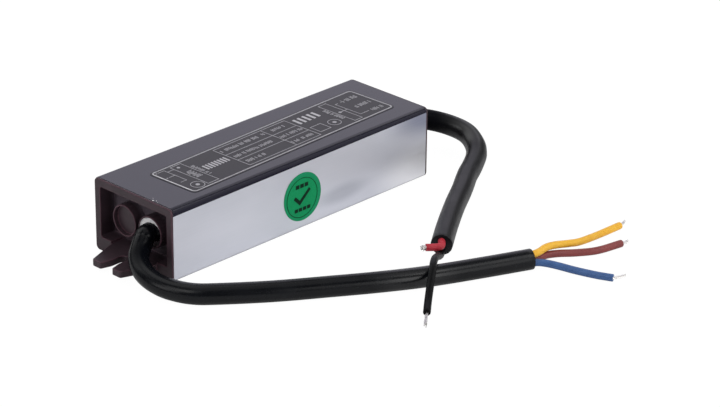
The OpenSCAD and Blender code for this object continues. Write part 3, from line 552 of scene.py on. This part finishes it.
def strands(name, route, seed, gauge=0.3):
    """Tinned strands of a gauge in millimetres, twisted together and a little splayed at the tip"""
    rng = random.Random(seed)
    path = smooth_path(route, steps=6)
    start = path[0] - (path[1] - path[0]).normalized() * STRAND_SEAT
    path = [start, *path]
    made = []
    for k in range(STRAND_COUNT):
        reach = 0 if k == 0 else gauge * MM
        phase = k * math.tau / (STRAND_COUNT - 1)
        splay = rng.uniform(0.8, 1.7)
        line = []
        for i, p in enumerate(path):
            j = min(i + 1, len(path) - 1)
            ahead = (path[j] - path[j - 1]).normalized()
            side = ahead.cross(UP).normalized()
            over = side.cross(ahead)
            done = i / (len(path) - 1)
            angle = phase + STRAND_TWIST * done
            far = reach * (1 + (splay - 1) * done ** 2)
            line.append(p + far * (math.cos(angle) * side + math.sin(angle) * over))
        short = rng.randint(0, 2)
        made.append(swept(f"{name}_{k}", line[:len(line) - short], gauge * MM, TINNED, 1))
    bundle = joined(made, name)
    bpy.ops.object.shade_smooth_by_angle(angle=math.radians(50))
    return keep(bundle, "tinned")


def jacket(name, route, diameter, wall, material, node):
    """A lead's outer tube, cut open where its cores come out, and its centre line"""
    path = smooth_path(route)
    tube = swept(name, path, diameter, material)
    hollow_end(tube, path, wall)
    round_edges(tube, 0.12 * MM)
    return keep(tube, "jacket", node), path


def core(name, route, start, material, slot, node):
    """An insulated core from inside its jacket to its bare end"""
    tube = swept(name, smooth_path(route, start), CORE_DIAMETER, material, 4)
    round_edges(tube, 0.1 * MM)
    return keep(tube, slot, node)


def leads():
    """Both leads with their cores and bare ends"""
    ac, ac_path = jacket("mains_lead", AC_ROUTE, AC_DIAMETER, AC_WALL, RUBBERY_JACKET, "ac_lead")
    dc, dc_path = jacket("low_voltage_lead", DC_ROUTE, DC_DIAMETER, DC_WALL, DULL_JACKET, "dc_lead")
    yellow_start = seat(AC_ROUTE, AC_CORE_REACH, 0)
    brown_start = seat(AC_ROUTE, AC_CORE_REACH, -120)
    blue_start = seat(AC_ROUTE, AC_CORE_REACH, 120)
    red_start = seat(DC_ROUTE, DC_CORE_REACH, 0)
    black_start = seat(DC_ROUTE, DC_CORE_REACH, 180)
    yellow = core("yellow_core", YELLOW_ROUTE, yellow_start, YELLOW, "yellow", "ac_core_yellow")
    brown = core("brown_core", BROWN_ROUTE, brown_start, BROWN, "brown", "ac_core_brown")
    blue = core("blue_core", BLUE_ROUTE, blue_start, BLUE, "blue", "ac_core_blue")
    red = core("red_core", RED_ROUTE, red_start, RED, "red", "dc_core_red")
    black = core("black_core", BLACK_ROUTE, black_start, BLACK, "black", "dc_core_black")
    ac_ends = [strands("yellow_strands", YELLOW_END, 3), strands("brown_strands", BROWN_END, 5),
               strands("blue_strands", BLUE_END, 7)]
    dc_ends = [strands("red_strands", RED_END, 11, 0.54), strands("black_strands", BLACK_END, 13)]
    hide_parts("ac_wire_ends")
    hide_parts("dc_wire_ends")


def paint(node, material):
    """Gives a CAD node its finish"""
    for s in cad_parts[node].material_slots:
        s.material = material


def dressed(node, name, slot, rounding, *materials):
    """A copy of a rigid node in its place, smoothly shaded, its edges rounded in the last material"""
    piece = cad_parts[node].copy()
    piece.data = piece.data.copy()
    piece.name = name
    piece.parent = None
    bpy.context.scene.collection.objects.link(piece)
    only(piece)
    bpy.ops.object.mode_set(mode="EDIT")
    bpy.ops.mesh.select_all(action="SELECT")
    bpy.ops.mesh.remove_doubles(threshold=0.002 * MM)
    bpy.ops.mesh.dissolve_limited(angle_limit=math.radians(0.5))
    bpy.ops.object.mode_set(mode="OBJECT")
    piece.data.materials.clear()
    for material in materials:
        piece.data.materials.append(material)
    round_edges(piece, rounding, angle=30, edge_slot=len(materials) - 1)
    flat = piece.modifiers.new("flat_faces", "WEIGHTED_NORMAL")
    flat.keep_sharp = True
    bpy.ops.object.modifier_apply(modifier=flat.name)
    return keep(piece, slot, node)


def on_label(x, y):
    """The place on the film of a point of the label's grid, in metres"""
    low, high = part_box("rating_label")
    middle = (Vector(low) + Vector(high)) / 2
    turned = Matrix.Rotation(LABEL_TURN, 3, "Z") @ Vector((x, y, 0)) * CELL * MM
    return Vector((middle.x + turned.x, middle.y + turned.y, high[2]))


def printed_frame():
    """The label's drawn lines: the border in full ink, the fine lines inside it in thinner ink"""
    piece = dressed("label_print", "printed_lines", "print", 0.008 * MM, BORDER_INK)
    piece.data.materials.append(FINE_INK)
    middle = on_label(0, 0)
    square = Matrix.Rotation(-LABEL_TURN, 3, "Z")
    inside = Vector((LABEL_LENGTH / 2 - LABEL_BORDER, LABEL_WIDTH / 2 - LABEL_BORDER)) * MM
    for face in piece.data.polygons:
        place = square @ (face.center - middle)
        if abs(place.x) < inside.x and abs(place.y) < inside.y:
            face.material_index = 1


def print_strokes():
    """The place, size and weight of each stroke of the small print, with gaps as between words"""
    rng = random.Random(21)
    strokes = []
    for (x0, y0, x1, y1), along, width, pitch in PRINT_ROWS:
        bold = width > BOLD_WIDTH
        start, end = (x0, x1) if along else (y0, y1)
        low, high = (y0, y1) if along else (x0, x1)
        at = start
        while at < end - width / CELL:
            if bold or rng.random() > GAP_CHANCE:
                tall = 1 if bold else rng.uniform(0.6, 1)
                middle = (low + high) / 2 + rng.uniform(-0.5, 0.5) * (1 - tall) * (high - low)
                place = (at + width / CELL / 2, middle) if along else (middle, at + width / CELL / 2)
                size = (width * MM, tall * (high - low) * CELL * MM)
                size = size if along else size[::-1]
                strokes.append((on_label(*place), size, bold))
            at += pitch / CELL
    return strokes


def small_print():
    """Rows of short strokes where small print goes: generic marks that spell nothing"""
    strokes = print_strokes()
    # An emptied plane takes the strokes up, each of them a plane of its own size
    bpy.ops.mesh.primitive_plane_add(size=1)
    piece = bpy.context.object
    bpy.ops.object.mode_set(mode="EDIT")
    bpy.ops.mesh.delete(type="VERT")
    for place, size, _ in strokes:
        bpy.ops.mesh.primitive_plane_add(size=1, location=place, rotation=(0, 0, LABEL_TURN))
        bpy.ops.transform.resize(value=(*size, 1), center_override=place)
    bpy.ops.object.mode_set(mode="OBJECT")
    settle(piece, FINE_INK, "small_print")
    piece.data.materials.append(BOLD_INK)
    for face, (_, _, bold) in zip(piece.data.polygons, strokes):
        face.material_index = 1 if bold else 0
    thick = piece.modifiers.new("ink", "SOLIDIFY")
    thick.thickness = INK
    thick.offset = 1
    bpy.ops.object.modifier_apply(modifier=thick.name)
    keep(piece, "print", "label_words")


def sealant(name, node, diameter, turn):
    """The bead round a lead in its collar: piled high on one side and drawn up to both walls"""
    inner = diameter / 2
    outer = COLLAR_BORE / 2
    middle = (inner + outer) / 2
    half = (outer - inner) / 2
    bpy.ops.mesh.primitive_torus_add(major_segments=72, minor_segments=20, major_radius=middle,
                                     minor_radius=half, rotation=(0, -math.pi / 2, 0))
    ring = settle(bpy.context.object, SILICONE, name)
    rng = random.Random(5)
    lumps = [(rng.uniform(0, math.tau), rng.uniform(0.03, 0.09) * MM, k) for k in (3, 5, 8)]
    for v in ring.data.vertices:
        around = math.atan2(v.co.y, v.co.z)
        across = (math.hypot(v.co.y, v.co.z) - middle) / half
        outward = -v.co.x / half
        high = (1 + math.cos(around - SEAL_TURN)) / 2
        set_back = SEAL_LOW + (SEAL_HIGH - SEAL_LOW) * high ** SEAL_FALL
        set_back += sum(size * math.sin(k * around + phase) for phase, size, k in lumps) * (1 - across ** 2)
        if outward > 0:
            depth = set_back + SEAL_SAG * (1 - across ** 2)
        else:
            depth = SEAL_BACK + outward * SEAL_BACK_SAG
        stretch = min(1, SEAL_FLARE * abs(across)) * (1 if across > 0 else -1)
        radius = middle + half * stretch
        v.co = COLLAR_PLACE + Vector((depth, radius * math.sin(around), radius * math.cos(around)))
    ring.data.transform(Matrix.Rotation(turn, 4, "Z"))
    only(ring)
    bpy.ops.object.shade_smooth()
    return keep(ring, "silicone", node)


def sealant_specks():
    """Crumbs of sealant left on the cap's top edge above the lead"""
    # Place along and across the case, and radius, in millimetres
    crumbs = [(-54.2, -8.2, 0.22), (-53.7, -9.1, 0.14), (-54.4, -10.3, 0.1), (-53.2, -7.1, 0.09)]
    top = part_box("top_film")[1][2]
    rng = random.Random(9)
    made = []
    for x, y, size in crumbs:
        bpy.ops.mesh.primitive_ico_sphere_add(subdivisions=3, radius=size * MM,
                                              location=(x * MM, y * MM, top), scale=(1, 1.3, 0.4))
        crumb = bpy.context.object
        for v in crumb.data.vertices:
            v.co *= 1 + rng.uniform(-0.12, 0.12)
        made.append(settle(crumb, SILICONE, "crumb"))
    specks = joined(made, "sealant_specks")
    bpy.ops.object.shade_smooth()
    keep(specks, "silicone")


def case_and_caps():
    """The case with its film, label, print and sticker, and the caps with their sealant"""
    dressed("housing", "case_extrusion", "case", 0.06 * MM, ALUMINIUM)
    dressed("top_film", "case_film", "film", 0.03 * MM, FILM)
    dressed("rating_label", "film_label", "label", 0.02 * MM, LABEL)
    printed_frame()
    small_print()
    dressed("check_sticker", "green_sticker", "sticker", 0.02 * MM, GREEN)
    dressed("check_print", "sticker_marks", "sticker_ink", 0.008 * MM, STICKER_INK)
    dressed("input_end_cap", "input_cap", "cap", 0.28 * MM, CAP, CAP_EDGE_HIGHLIGHT)
    dressed("output_end_cap", "output_cap", "cap", 0.28 * MM, CAP, CAP_EDGE_HIGHLIGHT)
    sealant("input_sealant", "input_seal", AC_DIAMETER, 0)
    sealant("output_sealant", "output_seal", DC_DIAMETER, math.pi)
    sealant_specks()


def inner_parts():
    """Finishes of what the case hides"""
    paint("insulating_sleeve", plain_part("sleeve_sheet", "#e4ded0", "#ece7da", 0.45))
    paint("circuit_board", plain_part("board_laminate", "#1d4f31", "#245a39", 0.35))
    paint("potting_compound", plain_part("potting", "#606164", "#6a6b6e", 0.5))
    paint("input_wires", BROWN)
    paint("output_wires", BLACK)
    dark = plain_part("component_moulding", "#26262a", "#303035", 0.45)
    for name in ("fuse", "line_choke", "bridge_rectifier", "controller_chip", "transformer_bobbin",
                 "optocoupler", "output_diode", "output_choke"):
        paint(name, dark)
    can = plain_part("capacitor_sleeve", "#22304f", "#2b3b5e", 0.3)
    for name in ("bulk_capacitor", "output_capacitors", "safety_capacitor"):
        paint(name, can)
    box = plain_part("film_capacitor_box", "#cfae4c", "#d8b95a", 0.45)
    paint("line_capacitor", box)
    paint("resistors", box)
    paint("transformer_core", plain_part("ferrite", "#2b2b2d", "#353538", 0.6))
    paint("transformer_winding", plain_part("winding_tape", "#cf8f2f", "#d99b3c", 0.4))


def softbox(name, place, size, brightness, tint=(1, 1, 1)):
    """A square lamp that faces the object, as bright as brightness times a white card in full light"""
    data = bpy.data.lights.new(name, "AREA")
    data.size = size
    data.energy = brightness * math.pi * size ** 2
    data.color = tint
    lamp = bpy.data.objects.new(name, data)
    away = Vector(place)
    lamp.matrix_world = Matrix.Translation(away) @ away.to_track_quat("Z", "Y").to_matrix().to_4x4()
    bpy.context.scene.collection.objects.link(lamp)


def ray_kinds(tree):
    """Whether the eye sees a point itself, and whether it is seen in metal or through glass"""
    rays = tree.nodes.new("ShaderNodeLightPath")
    mirrored = add(tree, "ShaderNodeMath", {0: rays.outputs["Is Glossy Ray"],
                                            1: rays.outputs["Is Transmission Ray"]}, operation="MAXIMUM")
    return rays.outputs["Is Camera Ray"], mirrored


def white_floor():
    """A matt white floor that keeps the object's shadow: raised to white for the eye, less so in metal"""
    eye_share = 0.94
    mirrored_share = 0.2
    white = 1.04
    bpy.ops.mesh.primitive_plane_add(size=6)
    floor = bpy.context.object
    floor.name = "floor"
    material, tree, shader = new_material("floor_white", "#f4f4f4", Roughness=0.9)
    shader.inputs["Specular IOR Level"].default_value = 0
    eye, mirrored = ray_kinds(tree)
    shown = add(tree, "ShaderNodeMath", {0: eye, 1: eye_share}, operation="MULTIPLY")
    shown = add(tree, "ShaderNodeMath", {0: mirrored, 1: mirrored_share, 2: shown}, operation="MULTIPLY_ADD")
    glow = add(tree, "ShaderNodeEmission", {"Color": (1, 1, 1, 1), "Strength": white})
    add(tree, "ShaderNodeMixShader", {0: shown, 1: shader.outputs[0], 2: glow},
        feeds=tree.nodes["Material Output"].inputs["Surface"])
    floor.data.materials.append(material)


def white_sky():
    """A sky that is white for the eye, and faint as a light and in what mirrors it"""
    as_light = 0.07
    mirrored_share = 0.05
    eye_share = 0.93
    world = bpy.data.worlds.new("studio")
    bpy.context.scene.world = world
    world.use_nodes = True
    tree = world.node_tree
    sky = tree.nodes["Background"]
    sky.inputs["Color"].default_value = (1, 1, 1, 1)
    eye, mirrored = ray_kinds(tree)
    faint = add(tree, "ShaderNodeMath", {0: mirrored, 1: mirrored_share, 2: as_light},
                operation="MULTIPLY_ADD")
    add(tree, "ShaderNodeMath", {0: eye, 1: eye_share, 2: faint}, feeds=sky.inputs["Strength"],
        operation="MULTIPLY_ADD")


def lamps():
    """Softboxes behind the case, over it and on both its sides"""
    softbox("behind", (1.25, 1.3, 0.85), 1.7, 0.9, (0.9, 0.87, 1))
    softbox("back_left", (-0.5, 1.4, 1.1), 1.3, 1.4)
    softbox("left", (-1.55, 0.22, 0.63), 0.6, 2.6)
    softbox("left_high", (-1.2, -0.2, 1.2), 0.7, 2.9)
    softbox("back_high", (0.15, 0.75, 1.55), 1, 1)
    softbox("over", (-0.05, -0.15, 1.6), 1.2, 0.6)
    softbox("side", (-0.14, -1.5, 0.55), 0.9, 2.1)
    softbox("side_high", (0.55, -0.95, 1.25), 0.9, 2.75)
    softbox("side_right", (0.75, -1.3, 0.4), 0.9, 1.1)
    softbox("side_far", (1.4, -0.65, 0.55), 0.9, 1.3)
    softbox("right", (1.3, 0.1, 1.2), 0.8, 1)


add_camera()
leads()
case_and_caps()
inner_parts()
white_floor()
white_sky()
lamps()
bpy.context.scene.view_settings.view_transform = "Standard"
